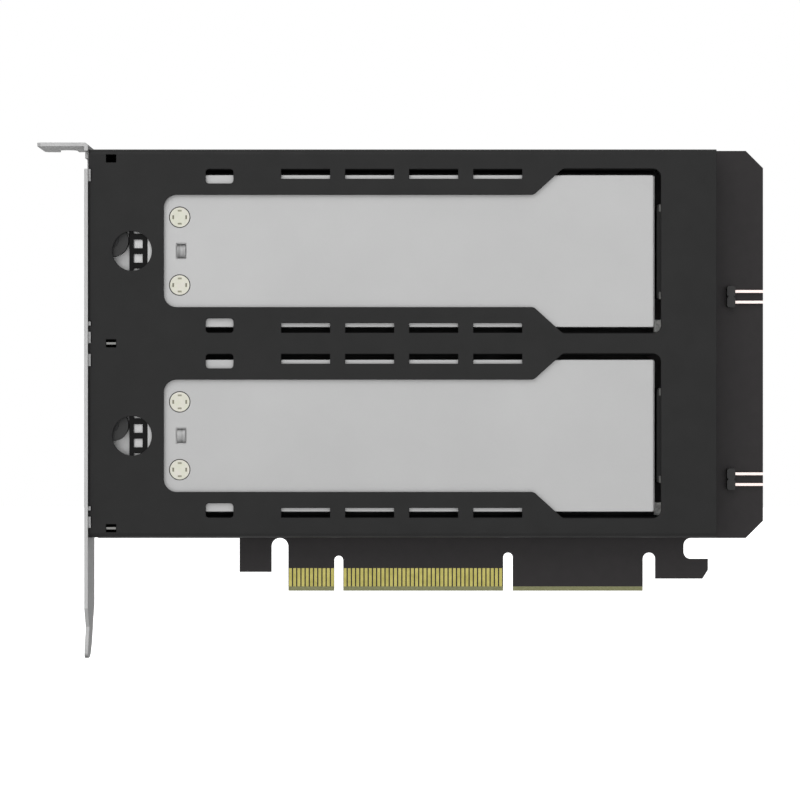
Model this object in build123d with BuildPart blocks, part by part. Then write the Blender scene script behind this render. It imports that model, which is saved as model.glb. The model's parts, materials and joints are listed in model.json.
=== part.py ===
from build123d import *
import math
import os

os.makedirs("parts", exist_ok=True)

# Dual-bay drive adapter card, upright as it stands in its slot.
# X runs from the slot bracket to the far end, Z up, and the component side faces -Y.
# The origin is the centre of the key notch at the lower edge of the contacts, in the middle
# of the board's thickness. A "height" is a distance in front of that middle, along -Y, and
# Plane.XZ.offset(height) is the plane at that height.

# Circuit board
board_thickness = 1.57
board_shoulder = 12.57
board_rise = 0.49
board_margin = 12.17
board_bracket_gap = 1.15
corner_cut = 4.1

# Edge connector
key_width = 2.1
key_top = 8.35
contact_pitch = 1.0
contact_width = 0.7
contact_low = 1.07
contact_top = 5.4
contact_sheet = 0.05
first_contact = 1.5
contacts_before_key = 11
contacts_after_key = 38
contact_margin = 0.5
edge_bevel_depth = 0.45
blank_notch_width = 2.3
edge_notch_top = 9.1
blank_tab_right = 72.3
latch_notch_width = 3.0
hook_right = 87.8
hook_low = 2.9
hook_top = 7.6
hook_slot_left = 82.0
hook_slot_radius = 1.75
hook_corner = 1.3
hook_corner_rise = 2.08
foot_left = -23.6
foot_low = 4.5
foot_notch_width = 4.0

# Slot bracket
bracket_inside = -58.45
bracket_sheet = 0.86
bracket_bend = 0.45
bracket_rise = 0.97
bracket_length = 121.1
bracket_width = 18.42
bracket_front = 14.3
flange_depth = 11.9
flange_width = 20.6
flange_corner = 0.8
screw_slot_width = 4.42
screw_slot_depth = 6.8
screw_slot_from_end = 5.85
tongue_width = 10.2
tongue_from_front = 4.1
tongue_length = 12.1
tongue_straight = 7.6
tongue_lean = 0.45
tongue_lean_length = 7.0
tongue_bend = 14.0
tongue_radius = 3.6
neck_setback = 2.6
neck_top_drop = 1.9
relief_web = 0.99
relief_height = 2.6
relief_depth = 8.9
ear_length = 9.0
ear_width = 8.0
ear_relief = 0.8
ear_hole_from_end = 3.6
ear_fold_radius = 0.77
nib_gap = 0.12

# Housing, one folded sheet
housing_sheet = 0.8
housing_bend = 0.8
housing_depth = 13.2
housing_height = 91.0
housing_rise = 0.59
housing_bracket_gap = 0.08
housing_end_gap = 14.43
housing_foot = 4.7
housing_corner = 1.2
round_window_radius = 4.63
round_window_offset = 0.7
window_front_offset = 3.83
window_end_gap = 1.4
window_side_gap = 1.4
window_lip = 4.75
window_wide_length = 23.0
window_slant = 6.8
window_left_radius = 3.0
window_right_radius = 2.0
window_slant_radius = 1.5
slot_pitch = 15.0
slot_length = 11.46
slot_height = 2.3
slot_overhang = 1.3
slot_end_web = 9.52
slot_row_gap = 11.0
short_slot_offset = 13.07
short_slot_length = 6.5
short_slot_height = 3.4
short_slot_corner = 0.8
tab_hole_offset = 5.27
tab_hole_length = 2.4
tab_hole_height = 1.9
edge_notch_depth = 0.6
edge_notches = ((16.2, 19.3), (-17.6, -16.4), (-21.7, -18.8))

# Guide rails
middle_rail = 5.3
outer_rail = 4.0
rail_clearance = 1.1
rail_end_gap = 0.2
groove_depth = 1.2
groove_clearance = 0.2
rail_cover_gap = 0.035
rail_wall_gap = 0.05
rail_corner = 0.8
rail_screw_inset = 20.0
rail_screw_length = 7.0
rail_pilot_depth = 6.0
tab_sheet = 0.5
tab_slot_width = 0.54
tab_slot_length = 1.5
tab_slot_low = 5.5
tab_end_gap = 0.1
tab_tip_height = 0.6

# Trays
tray_length = 118.9
cover_sheet = 0.8
cover_edge = 0.25
cover_end_edge = 0.6
cover_top_gap = 0.45
floor_sheet = 1.0
floor_lift = 1.4
floor_lead_in = 2.5
floor_front_gap = 0.2
end_lip_height = 2.5
front_plate_sheet = 0.8
front_plate_inset = 1.6
front_plate_reach = 11.0
deck_drop = 2.34
deck_front_gap = 0.6
joggle_setback = 0.05
pad_thickness = 2.0
pad_width = 22.0
pad_front_gap = 13.1
pad_end_gap = 4.8

# Tray bezel
bezel_stand = 0.19
bezel_plate = 2.0
bezel_overhang = 0.15
bezel_lift = 1.1
bezel_cheek = 1.5
bezel_corner = 0.5
bezel_cover_gap = 0.1
cross_wall_place = 10.6
cross_wall_room = 4.2
cross_wall = 0.8
cross_wall_drop = 0.9
vent_size = 2.0
vent_pitch = 3.4
vent_rows = 2
vent_row_pitch = 3.0
passage_height = 3.4
grille_hole_length = 2.2
grille_hole_gap = 0.1
grille_skin = 0.72
bezel_window_gap = 0.15
bezel_boss_radius = 1.7
bezel_boss_inset = 2.55
bezel_screw_head = 1.5
bezel_screw_cone = 0.7
bezel_screw_radius = 0.8
bezel_screw_length = 3.5
bezel_pilot_room = 0.5

# Latch lever
pivot_back = 6.6
pivot_up = 2.5
hub_radius = 3.75
pin_radius = 1.0
pin_head_radius = 1.4
pin_head_height = 0.7
pin_clearance = 0.05
rivet_radius = 1.5
rivet_height = 0.6
lever_thickness = 2.8
lever_bar = 2.2
lever_scoop_radius = 1.32
lever_end_gap = 0.45
lever_gap = 0.15
lever_angle = 60.0
swing_room = 0.5

# Fasteners
cover_screw_setback = 7.5
cover_screw_spread = 7.95
cover_screw_head = 2.3
head_ring = 0.2
head_ring_depth = 0.3
cover_screw_radius = 1.25
head_mark_depth = 0.3
head_mark_place = 1.52
head_mark_width = 0.4
head_mark_length = 0.9
spacer_radius = 2.6
latch_hole_setback = 7.85
latch_hole_length = 2.5
latch_hole_width = 3.9
latch_hole_corner = 0.3
latch_spring_sheet = 0.25
latch_spring_foot = 0.35
latch_spring_width = 2.0
latch_spring_gap = 0.25
latch_spring_drop = 0.1
small_screw_radius = 1.0
small_screw_head = 1.9
small_screw_head_height = 1.2
drive_screw_head_height = 0.9
drive_screw_length = 3.0
drive_screw_room = 0.3
thread_gap = 0.02
clearance_gap = 0.25

# Drive socket
socket_tray_gap = 0.7
socket_length = 8.7
socket_width = 21.9
socket_height = 8.5
card_height = 7.0
card_sheet = 0.8
card_slot_width = 20.1
card_slot_height = 0.95
card_slot_depth = 4.6
card_end_gap = 0.4
card_key_place = -6.6
card_key_width = 1.2
socket_contact_pitch = 0.5
socket_contact_width = 0.22
socket_contact_count = 34
drive_length = 80.0
spare_drive_lengths = (60.0, 110.0)
drive_thread = 1.2
standoff_radius = 2.2
socket_chamfer = 1.2
socket_tail = 1.0
socket_tail_height = 0.2
clip_sheet = 0.2
clip_length = 2.0
clip_reach = 1.6
clip_setback = 0.5

# Light headers
header_pitch = 2.54
header_depth = 2.0
header_waist = 0.5
header_drop = 10.4
header_edge_gap = 6.8
pin_size = 0.64
pin_hole_gap = 0.02
pin_tail = 1.5
pin_end_gap = 0.1

# Parts on the board
inductor_size = 4.0
inductor_width = 3.0
inductor_height = 3.0
inductor_gap = 0.4
inductor_inset = 0.5
capacitor_radius = 2.5
capacitor_height = 5.4
capacitor_base = 0.8
capacitor_base_size = 5.3
clock_chip_size = 7.0
clock_chip_x = 4.0
clock_chip_drop = 12.0
switch_chip_length = 4.0
switch_chip_width = 3.0
switch_chip_setback = 12.3
switch_chip_drop = 12.0
monitor_chip_length = 5.0
monitor_chip_width = 4.4
monitor_chip_setback = 44.3
monitor_chip_rise = 8.0
chip_height = 0.9
small_capacitor_length = 1.6
small_capacitor_width = 0.8
small_capacitor_height = 0.6
small_capacitor_pitch = 2.4
small_capacitor_row_pitch = 2.6
small_capacitor_setback = 6.3
small_capacitor_count = 8

# Across the card, from its shoulder up: the housing's height is shared by the two bays
housing_low = board_shoulder + housing_rise
housing_top = housing_low + housing_height
bays_middle = (housing_low + housing_top) / 2
board_top = housing_top + board_rise
bracket_top = board_top + bracket_rise
bracket_low = bracket_top - bracket_length
rails_room = middle_rail + 2 * (outer_rail + rail_wall_gap + housing_sheet)
rail_half = (housing_height - rails_room) / 4
bay_pitch = 2 * rail_half + middle_rail
bay_centres = {
    "upper": bays_middle + bay_pitch / 2,
    "lower": bays_middle - bay_pitch / 2,
}
cover_width = 2 * (rail_half - rail_clearance)
bezel_width = cover_width + 2 * bezel_overhang
front_plate_width = cover_width - 2 * front_plate_inset
groove_half = rail_half + groove_depth
floor_width = 2 * (groove_half - groove_clearance)
bezel_half = bezel_width / 2
pocket_half = bezel_half - bezel_cheek
bezel_boss_place = pocket_half - bezel_boss_inset
lever_reach = bezel_half - pivot_up - lever_end_gap
vent_columns = 1 + 2 * int((pocket_half - vent_size / 2) / vent_pitch)
passage_count = 1 + 2 * int((bezel_boss_place - bezel_boss_radius - vent_size / 2) / vent_pitch)
grille_holes = 2 * int((pocket_half + vent_pitch / 2 - vent_size / 2) / vent_pitch)

# Along the card, from the bracket: the tray's length sets everything behind it
bracket_outside = bracket_inside - bracket_sheet
bezel_front = bracket_outside - bezel_stand
cross_wall_front = bezel_front + cross_wall_place
bezel_back = cross_wall_front + cross_wall_room
tray_left = bezel_back + bezel_cover_gap
tray_right = tray_left + tray_length
pivot_x = bezel_front + pivot_back
boss_x = (cross_wall_front + cross_wall + bezel_back) / 2
plate_back = bezel_front + bezel_plate
cover_screw_x = tray_left + cover_screw_setback
latch_hole_x = tray_left + latch_hole_setback
socket_left = tray_right + socket_tray_gap
drive_edge = socket_left + card_slot_depth - card_end_gap
housing_left = bracket_inside + housing_bracket_gap
housing_right = tray_right + housing_end_gap
housing_length = housing_right - housing_left
board_left = bracket_inside + board_bracket_gap
board_right = housing_right + board_margin
tab_hole_x = housing_left + tab_hole_offset
tab_slot_end = tab_hole_x + tab_slot_length
rail_left = bracket_inside + rail_wall_gap
rail_end = tray_right + rail_end_gap
rail_screw_places = (rail_left + rail_screw_inset, rail_end - rail_screw_inset)
header_x = board_right - header_edge_gap - header_depth / 2

# Heights
board_face = board_thickness / 2
bracket_near = board_face + bracket_front
bracket_far = bracket_near - bracket_width
flange_far = bracket_near - flange_width
housing_face = board_face + housing_depth
housing_under = housing_face - housing_sheet
tray_top = housing_under - cover_top_gap
cover_under = tray_top - cover_sheet
floor_low = board_face + floor_lift
floor_top = floor_low + floor_sheet
bezel_low = board_face + bezel_lift
bezel_top = tray_top
front_plate_under = cover_under - front_plate_sheet
deck_top = cover_under - deck_drop
deck_under = deck_top - front_plate_sheet
lever_low = deck_top + lever_gap
lever_top = lever_low + lever_thickness
groove_low = floor_low - groove_clearance
groove_top = floor_top + groove_clearance
card_plane = board_face + card_height
standoff_top = card_plane - card_sheet / 2


def save(piece, name):
    """Label a finished piece and write its STEP file."""
    piece.part.label = name
    export_step(piece.part, f"parts/{name}.step")


def screw_plane(x, z):
    """A plane through an axis that stands square on the board at x, z."""
    return Plane(origin=(x, 0, z), x_dir=(1, 0, 0), z_dir=(0, 0, 1))


def screw(x, z, seat, tip, head_radius, head_height, radius, side=1):
    """Add a cheese-head screw whose head stands on the given seat height.

    side is 1 for a head towards the component side and -1 for a head behind the board.
    """
    head_end = seat + side * head_height
    with BuildSketch(screw_plane(x, z)) as profile:
        with BuildLine():
            Polyline(
                (0, -head_end),
                (head_radius, -head_end),
                (head_radius, -seat),
                (radius, -seat),
                (radius, -tip),
                (0, -tip),
                close=True,
            )
        make_face()
    revolve(profile.sketch, axis=Axis((x, 0, z), (0, 1, 0)))


def edge_notch(x, width, top):
    """Cut a round-topped notch up from the lower edge of the board's outline."""
    foot = -width
    with Locations((x, (top + foot) / 2)):
        SlotOverall(top - foot, width, rotation=90, mode=Mode.SUBTRACT)


def plate_outline(left, right, low, high, mode=Mode.ADD):
    """Add a rectangle given by its edges to the open sketch, or cut it out."""
    with Locations(((left + right) / 2, (low + high) / 2)):
        Rectangle(right - left, high - low, mode=mode)


# Circuit board: the full outline with its contact tabs, notches, retention hook and foot

def contact_places():
    """X of each contact, from the bracket's end to the last fitted lane."""
    before = [-first_contact - contact_pitch * n for n in range(contacts_before_key)]
    after = [first_contact + contact_pitch * n for n in range(contacts_after_key)]
    return sorted(before) + after


contacts = contact_places()
tab_left = contacts[0] - contact_margin
tab_right = contacts[-1] + contact_margin + 0.1
hook_left = blank_tab_right + latch_notch_width
header_centres = [centre - header_drop for centre in bay_centres.values()]
screw_rows = {
    "upper": (bay_centres["upper"] + rail_half + housing_top - housing_sheet) / 2,
    "middle": bays_middle,
    "lower": (bay_centres["lower"] - rail_half + housing_low + housing_sheet) / 2,
}
ear_hole = bracket_inside + ear_length - ear_hole_from_end

with BuildPart() as card_board:
    with BuildSketch(Plane.XZ.offset(-board_face)) as outline:
        plate_outline(board_left, board_right, board_shoulder, board_top)
        right_corners = outline.vertices().group_by(Axis.X)[-1]
        chamfer(right_corners, length=corner_cut)
        plate_outline(foot_left, hook_right, 0, board_shoulder + 1)
        foot_right = tab_left - foot_notch_width
        with Locations(((foot_left + foot_right) / 2, 0)):
            Rectangle(foot_right - foot_left, 2 * foot_low, mode=Mode.SUBTRACT)
        edge_notch((foot_right + tab_left) / 2, foot_notch_width, board_shoulder)
        edge_notch(0, key_width, key_top)
        edge_notch(tab_right + blank_notch_width / 2, blank_notch_width, edge_notch_top)
        edge_notch(blank_tab_right + latch_notch_width / 2, latch_notch_width, edge_notch_top)
        hook_room = hook_right - hook_left + 1
        with Locations((hook_left + hook_room / 2, 0)):
            Rectangle(hook_room, 2 * hook_low, mode=Mode.SUBTRACT)
        slot_room = 2 * (hook_right - hook_slot_left)
        with Locations((hook_right, (hook_top + board_shoulder) / 2)):
            RectangleRounded(
                slot_room, board_shoulder - hook_top, hook_slot_radius, mode=Mode.SUBTRACT
            )
        with BuildLine():
            Polyline(
                (hook_right, hook_low - 1),
                (hook_right, hook_low + hook_corner_rise),
                (hook_right - hook_corner, hook_low),
                (hook_right - hook_corner, hook_low - 1),
                close=True,
            )
        make_face(mode=Mode.SUBTRACT)
    extrude(amount=board_thickness)
    # Bevel along both sides of the contact tabs
    with BuildSketch(Plane.YZ.offset(tab_left - 1)) as bevel:
        with BuildLine():
            Polyline(
                (board_face, 0),
                (board_face, contact_low),
                (board_face - edge_bevel_depth, 0),
                close=True,
            )
        make_face()
        mirror(about=Plane.YZ)
    extrude(amount=blank_tab_right - tab_left + 2, mode=Mode.SUBTRACT)
    # Screw holes and header holes
    with BuildSketch(Plane.XZ.offset(-board_face)) as holes:
        with Locations([(x, z) for x in rail_screw_places for z in screw_rows.values()]):
            Circle(small_screw_radius + clearance_gap)
        with Locations([(ear_hole, z) for z in bay_centres.values()]):
            Circle(small_screw_radius + clearance_gap)
        with Locations([(header_x, z) for z in header_centres]):
            with GridLocations(1, header_pitch, 1, 2):
                Circle(pin_size / math.sqrt(2) + pin_hole_gap)
    extrude(amount=board_thickness, mode=Mode.SUBTRACT)
save(card_board, "card_board")

# Edge contacts: one strip of gold pads on each side of the board
for side_name, near_face in (("front", board_face), ("back", -board_face - contact_sheet)):
    with BuildPart() as edge_contacts:
        with BuildSketch(Plane.XZ.offset(near_face)) as pads:
            with Locations([(x, (contact_low + contact_top) / 2) for x in contacts]):
                Rectangle(contact_width, contact_top - contact_low)
        extrude(amount=contact_sheet)
    save(edge_contacts, f"edge_contacts_{side_name}")

# Slot bracket: one stamped strip with the bent flange, the bowed tongue and the tray windows
bracket_middle = bracket_inside - bracket_sheet / 2
flange_middle = bracket_top - bracket_sheet / 2
flange_left = bracket_inside - flange_depth
tongue_near = bracket_near - tongue_from_front
tongue_shoulder = bracket_low + tongue_length
tongue_start = bracket_low + tongue_straight
window_half = bezel_half + bezel_window_gap
window_near = bezel_top + bezel_window_gap
window_far = board_face + bracket_sheet
relief_low = bay_centres["upper"] + window_half + relief_web
slot_x = flange_left + screw_slot_from_end

with BuildPart() as io_bracket:
    with BuildSketch(Plane.XZ.offset(flange_far)) as fold:
        with BuildLine():
            FilletPolyline(
                (flange_left, flange_middle),
                (bracket_middle, flange_middle),
                (bracket_middle, bracket_low + tongue_lean_length),
                (bracket_middle - tongue_lean, bracket_low),
                radius=[bracket_bend, tongue_bend],
            )
        trace(line_width=bracket_sheet)
    extrude(amount=flange_width)
    # The strip's flat outline, with the windows that the trays pass through
    with BuildSketch(Plane.YZ.offset(flange_left - 1)) as strip:
        with BuildLine():
            Polyline(
                (-bracket_near, bracket_top + 1),
                (-bracket_near, bracket_top - neck_top_drop),
                (-bracket_near + neck_setback, bracket_top - neck_top_drop),
                (-bracket_near + neck_setback, relief_low + relief_height),
                (-bracket_near + relief_depth, relief_low + relief_height),
                (-bracket_near + relief_depth, relief_low),
                (-bracket_near, relief_low),
                (-bracket_near, tongue_shoulder),
                (-tongue_near, tongue_start),
                (-tongue_near, bracket_low),
                (-tongue_near + tongue_width, bracket_low),
                (-tongue_near + tongue_width, tongue_start),
                (-bracket_far, tongue_shoulder),
                (-bracket_far, bracket_top - neck_top_drop),
                (-flange_far, bracket_top - neck_top_drop),
                (-flange_far, bracket_top + 1),
                close=True,
            )
        make_face()
        fillet(strip.vertices().group_by(Axis.Y)[0], radius=tongue_radius)
        for centre in bay_centres.values():
            with Locations((-(window_near + window_far) / 2, centre)):
                Rectangle(window_near - window_far, 2 * window_half, mode=Mode.SUBTRACT)
            with Locations((-(groove_low + groove_top) / 2, centre)):
                Rectangle(groove_top - groove_low, 2 * groove_half, mode=Mode.SUBTRACT)
            # Reliefs each side of the fold of the screw ear
            with Locations((-window_far, centre)):
                with GridLocations(1, ear_width + ear_relief, 1, 2):
                    Rectangle(3 * bracket_sheet, ear_relief, mode=Mode.SUBTRACT)
    extrude(amount=flange_depth + 3, mode=Mode.INTERSECT)
    # Open screw slot in the flange
    with BuildSketch(Plane.XY.offset(bracket_top - 2 * bracket_sheet)) as screw_slot:
        slot_end = -flange_far - screw_slot_depth + screw_slot_width / 2
        with Locations((slot_x, slot_end)):
            Circle(screw_slot_width / 2)
        with Locations((slot_x, slot_end + screw_slot_depth)):
            Rectangle(screw_slot_width, 2 * screw_slot_depth)
    extrude(amount=3 * bracket_sheet, mode=Mode.SUBTRACT)
    flange_ends = io_bracket.edges().filter_by(Axis.Z).group_by(Axis.X)[0]
    chamfer(flange_ends, length=flange_corner)
    # Nibs stamped inwards that locate the housing by its edge notches
    with BuildSketch(Plane.XZ.offset(housing_under + nib_gap)) as nibs:
        for centre in bay_centres.values():
            for low, high in edge_notches:
                plate_outline(
                    bracket_middle,
                    housing_left + edge_notch_depth - nib_gap,
                    centre + low + nib_gap,
                    centre + high - nib_gap,
                )
    extrude(amount=housing_sheet - 2 * nib_gap)
    # Screw ears folded back along the board, one behind each window
    with BuildSketch(Plane.XZ.offset(board_face)) as ears:
        for centre in bay_centres.values():
            with Locations(((bracket_inside + ear_length / 2 - bracket_sheet / 2), centre)):
                Rectangle(ear_length + bracket_sheet, ear_width)
    extrude(amount=bracket_sheet)
    ear_folds = (
        io_bracket.edges()
        .filter_by(Axis.Z)
        .filter_by_position(Axis.Y, -window_far - 0.01, -window_far + 0.01)
        .filter_by_position(Axis.X, bracket_outside - 0.01, bracket_outside + 0.01)
        .filter_by(lambda edge: abs(edge.length - ear_width) < 0.01)
    )
    fillet(ear_folds, radius=ear_fold_radius)
    with BuildSketch(Plane.XZ.offset(board_face)) as ear_holes:
        with Locations([(ear_hole, centre) for centre in bay_centres.values()]):
            Circle(small_screw_radius + thread_gap)
    extrude(amount=bracket_sheet, mode=Mode.SUBTRACT)
save(io_bracket, "io_bracket")

# Housing: one sheet folded into a channel, with feet turned in along the board
window_left = tray_left + window_front_offset
window_right = tray_right + window_end_gap
window_slant_end = window_right - window_wide_length
window_slant_start = window_slant_end - window_slant
narrow_half = cover_width / 2 - window_lip
wide_half = cover_width / 2 + window_side_gap
slot_reach = cover_width / 2 + slot_overhang
short_slot_x = window_left + short_slot_offset
slot_row_right = window_slant_end - slot_end_web
slot_row_left = short_slot_x + short_slot_length / 2 + slot_row_gap
slot_count = 1 + int((slot_row_right - slot_row_left - slot_length) / slot_pitch)
slot_row_middle = slot_row_right - slot_length / 2 - slot_pitch * (slot_count - 1) / 2
foot_middle = board_face + housing_sheet / 2
face_middle = housing_face - housing_sheet / 2
wall_top = housing_top - housing_sheet / 2
wall_low = housing_low + housing_sheet / 2

with BuildPart() as housing_cover:
    with BuildSketch(Plane.YZ.offset(housing_left)) as channel:
        with BuildLine():
            FilletPolyline(
                (-foot_middle, housing_top - housing_foot),
                (-foot_middle, wall_top),
                (-face_middle, wall_top),
                (-face_middle, wall_low),
                (-foot_middle, wall_low),
                (-foot_middle, housing_low + housing_foot),
                radius=housing_bend,
            )
        trace(line_width=housing_sheet)
    extrude(amount=housing_length)
    with BuildSketch(Plane.XZ.offset(board_face - 0.1)) as right_corners:
        plate_outline(
            housing_right - housing_corner, housing_right + 1, housing_low - 1, housing_top + 1
        )
        with Locations((housing_right - housing_corner, bays_middle)):
            SlotOverall(housing_height, 2 * housing_corner, rotation=90, mode=Mode.SUBTRACT)
    extrude(amount=housing_depth + 0.2, mode=Mode.SUBTRACT)
    # Windows over the trays, wide at their far end
    with BuildSketch(Plane.XZ.offset(housing_under - 0.1)) as windows:
        for centre in bay_centres.values():
            with BuildLine():
                Polyline(
                    (window_left, centre - narrow_half),
                    (window_slant_start, centre - narrow_half),
                    (window_slant_end, centre - wide_half),
                    (window_right, centre - wide_half),
                    (window_right, centre + wide_half),
                    (window_slant_end, centre + wide_half),
                    (window_slant_start, centre + narrow_half),
                    (window_left, centre + narrow_half),
                    close=True,
                )
            make_face()
        fillet(windows.vertices().group_by(Axis.X)[0], radius=window_left_radius)
        fillet(windows.vertices().group_by(Axis.X)[-1], radius=window_right_radius)
        fillet(
            windows.vertices().filter_by_position(
                Axis.X, window_slant_start - 0.01, window_slant_end + 0.01
            ),
            radius=window_slant_radius,
        )
    extrude(amount=housing_sheet + 0.2, mode=Mode.SUBTRACT)
    # Slots, round windows, tab holes and the notches of the bracket edge
    with BuildSketch(Plane.XZ.offset(housing_under - 0.1)) as cutouts:
        for centre in bay_centres.values():
            with Locations((cross_wall_front + round_window_offset, centre)):
                Circle(round_window_radius)
            for side in (1, -1):
                slot_row = centre + side * (slot_reach - slot_height / 2)
                with Locations((slot_row_middle, slot_row)):
                    with GridLocations(slot_pitch, 1, slot_count, 1):
                        Rectangle(slot_length, slot_height)
                short_row = centre + side * (slot_reach - short_slot_height / 2)
                with Locations((short_slot_x, short_row)):
                    RectangleRounded(short_slot_length, short_slot_height, short_slot_corner)
            for low, high in edge_notches:
                with Locations((housing_left, centre + (low + high) / 2)):
                    Rectangle(2 * edge_notch_depth, high - low)
        with Locations((tab_hole_x, bays_middle)):
            with GridLocations(1, bay_pitch, 1, 3):
                Rectangle(tab_hole_length, tab_hole_height)
    extrude(amount=housing_sheet + 0.2, mode=Mode.SUBTRACT)
    # Clearance holes for the rail screws in the turned-in feet
    with BuildSketch(Plane.XZ.offset(board_face)) as foot_holes:
        outer_rows = (screw_rows["upper"], screw_rows["lower"])
        with Locations([(x, z) for x in rail_screw_places for z in outer_rows]):
            Circle(small_screw_radius + clearance_gap)
    extrude(amount=housing_sheet, mode=Mode.SUBTRACT)
save(housing_cover, "housing_cover")

# Guide rails: moulded bars between the housing walls and the bays, grooved for the tray floors

def guide_rail(name, low, high, base, faces, screw_row, tab_row, wall=None):
    """A rail from low to high in Z, standing on the given base height.

    faces lists the Z of each grooved face. wall is -1 or 0 when the top or the bottom of
    the rail lies along a folded wall of the housing and needs its corners rounded.
    """
    top = housing_under - rail_cover_gap
    with BuildPart() as rail:
        with BuildSketch(Plane.YZ.offset(rail_left)) as section:
            plate_outline(-top, -base, low, high)
            if wall is not None:
                fillet(section.vertices().group_by(Axis.Y)[wall], radius=rail_corner)
            for face in faces:
                with Locations((-(groove_low + groove_top) / 2, face)):
                    Rectangle(groove_top - groove_low, 2 * groove_depth, mode=Mode.SUBTRACT)
        extrude(amount=rail_end - rail_left)
        # Slot for the locating tab, open to the housing's tab hole
        with BuildSketch(Plane.XZ.offset(tab_slot_low)) as tab_slot:
            plate_outline(
                rail_left - 1,
                tab_slot_end,
                tab_row - tab_slot_width / 2,
                tab_row + tab_slot_width / 2,
            )
            with Locations((tab_hole_x, tab_row)):
                Rectangle(tab_hole_length, tab_hole_height)
        extrude(amount=top - tab_slot_low, mode=Mode.SUBTRACT)
        with BuildSketch(Plane.XZ.offset(base)) as pilots:
            with Locations([(x, screw_row) for x in rail_screw_places]):
                Circle(small_screw_radius + thread_gap)
        extrude(amount=rail_pilot_depth, mode=Mode.SUBTRACT)
    save(rail, name)


foot_top = board_face + housing_sheet
upper_centre = bay_centres["upper"]
lower_centre = bay_centres["lower"]
guide_rail(
    "upper_guide_rail",
    upper_centre + rail_half,
    housing_top - housing_sheet - rail_wall_gap,
    foot_top,
    [upper_centre + rail_half],
    screw_rows["upper"],
    bays_middle + bay_pitch,
    wall=-1,
)
guide_rail(
    "middle_guide_rail",
    lower_centre + rail_half,
    upper_centre - rail_half,
    board_face,
    [lower_centre + rail_half, upper_centre - rail_half],
    screw_rows["middle"],
    bays_middle,
)
guide_rail(
    "lower_guide_rail",
    housing_low + housing_sheet + rail_wall_gap,
    lower_centre - rail_half,
    foot_top,
    [lower_centre - rail_half],
    screw_rows["lower"],
    bays_middle - bay_pitch,
    wall=0,
)

# Locating tabs: two small steel plates in the rails' end slots, their tips in the housing's holes
with BuildPart() as locating_tabs:
    for row in (bays_middle, bays_middle - bay_pitch):
        with BuildSketch(Plane.XY.offset(row - tab_sheet / 2)) as tab:
            plate_outline(
                rail_left,
                tab_slot_end - tab_end_gap,
                -(housing_under - rail_cover_gap),
                -tab_slot_low,
            )
            plate_outline(
                tab_hole_x - tab_hole_length / 2 + tab_end_gap,
                tab_hole_x + tab_hole_length / 2 - tab_end_gap,
                -(housing_under + tab_tip_height),
                -housing_under + 1,
            )
        extrude(amount=tab_sheet)
save(locating_tabs, "locating_tabs")

# Screws from behind the board: two into each rail and one into each ear of the bracket
with BuildPart() as rail_screws:
    for x in rail_screw_places:
        for z in screw_rows.values():
            screw(
                x,
                z,
                -board_face,
                -board_face + rail_screw_length,
                small_screw_head,
                small_screw_head_height,
                small_screw_radius,
                side=-1,
            )
save(rail_screws, "rail_screws")

with BuildPart() as bracket_screws:
    for centre in bay_centres.values():
        screw(
            ear_hole,
            centre,
            -board_face,
            board_face + bracket_sheet,
            small_screw_head,
            small_screw_head_height,
            small_screw_radius,
            side=-1,
        )
save(bracket_screws, "bracket_screws")


# Trays

def tray_floor(bay, centre):
    """The flat sheet that runs in the rails and carries the drive."""
    with BuildPart() as floor:
        with BuildSketch(Plane.XZ.offset(floor_low)) as outline:
            plate_outline(
                plate_back + floor_front_gap,
                tray_right,
                centre - floor_width / 2,
                centre + floor_width / 2,
            )
            chamfer(outline.vertices().group_by(Axis.X)[-1], length=floor_lead_in)
            drive_holes = (drive_length, *spare_drive_lengths)
            with Locations([(drive_edge - length, centre) for length in drive_holes]):
                Circle(drive_thread + thread_gap, mode=Mode.SUBTRACT)
            with Locations((cover_screw_x, centre)):
                with GridLocations(1, 2 * cover_screw_spread, 1, 2):
                    Circle(cover_screw_radius + thread_gap, mode=Mode.SUBTRACT)
        extrude(amount=floor_sheet)
        # Countersunk holes under the bezel's bosses
        for side in (1, -1):
            boss_z = centre + side * bezel_boss_place
            with BuildSketch(screw_plane(boss_x, boss_z)) as countersink:
                with BuildLine():
                    Polyline(
                        (0, -floor_low),
                        (bezel_screw_head + thread_gap, -floor_low),
                        (bezel_screw_radius + thread_gap, -floor_low - bezel_screw_cone),
                        (bezel_screw_radius + thread_gap, -floor_top),
                        (0, -floor_top),
                        close=True,
                    )
                make_face()
            revolve(axis=Axis((boss_x, 0, boss_z), (0, 1, 0)), mode=Mode.SUBTRACT)
    save(floor, f"{bay}_tray_floor")


def countersunk_screw(x, z, face, tip, head_radius, cone, radius, side=1):
    """Add a countersunk screw, its head flush with the given face height."""
    with BuildSketch(screw_plane(x, z)) as profile:
        with BuildLine():
            Polyline(
                (0, -face),
                (head_radius, -face),
                (radius, -face + side * cone),
                (radius, -tip),
                (0, -tip),
                close=True,
            )
        make_face()
    revolve(profile.sketch, axis=Axis((x, 0, z), (0, 1, 0)))


def bezel_screws(bay, centre):
    """Two countersunk screws up through the tray floor into the bezel."""
    with BuildPart() as screws:
        for side in (1, -1):
            z = centre + side * bezel_boss_place
            countersunk_screw(
                boss_x,
                z,
                floor_low,
                floor_top + bezel_screw_length,
                bezel_screw_head,
                bezel_screw_cone,
                bezel_screw_radius,
                side=-1,
            )
    save(screws, f"{bay}_bezel_screws")


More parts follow.
